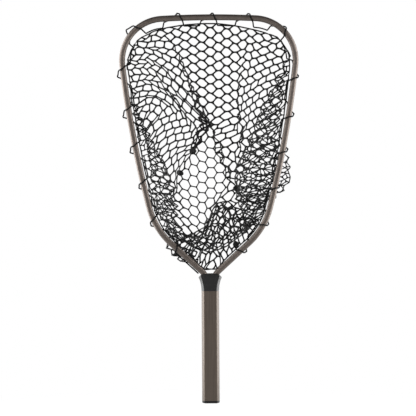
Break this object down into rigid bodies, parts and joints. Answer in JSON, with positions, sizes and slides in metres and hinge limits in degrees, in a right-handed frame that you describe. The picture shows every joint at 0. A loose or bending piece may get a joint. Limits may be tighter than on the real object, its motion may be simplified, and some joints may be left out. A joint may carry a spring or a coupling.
{
  "type": "landing net",
  "caption": "Hand-held landing net: bent tube hoop with a laced moulded mesh bag, a flared throat plug and a short hollow handle closed by a pull-out end plug.",
  "frame": {"origin": "middle of the handle, on its axis, where the hand holds it", "axes": "+Z along the handle from the butt to the top of the hoop, hoop in the XZ plane, mouth facing -Y, bag hanging on the +Y side"},
  "size_m": [0.3817, 0.1986, 0.8194],
  "materials": {
    "anodised_aluminium": "brown-grey anodised, satin",
    "black_plastic": "moulded, satin",
    "black_rubber": "moulded rubber, satin",
    "lacing": "tight black cord",
    "steel": "plain"
  },
  "bodies": {
    "net": {"hoop": "anodised_aluminium", "handle": "anodised_aluminium", "throat_plug": "black_plastic", "leg_pin": "steel", "rivet_1": "steel", "rivet_2": "steel", "net_bag": "black_rubber", "lacing_cord": "lacing"},
    "end_plug": {"end_plug": "black_rubber"}
  },
  "joints": [
    {"name": "end_plug_pull", "type": "slide", "parent": "net", "child": "end_plug", "axis": [0, 0, -1], "range_m": [0, 0.03]}
  ]
}
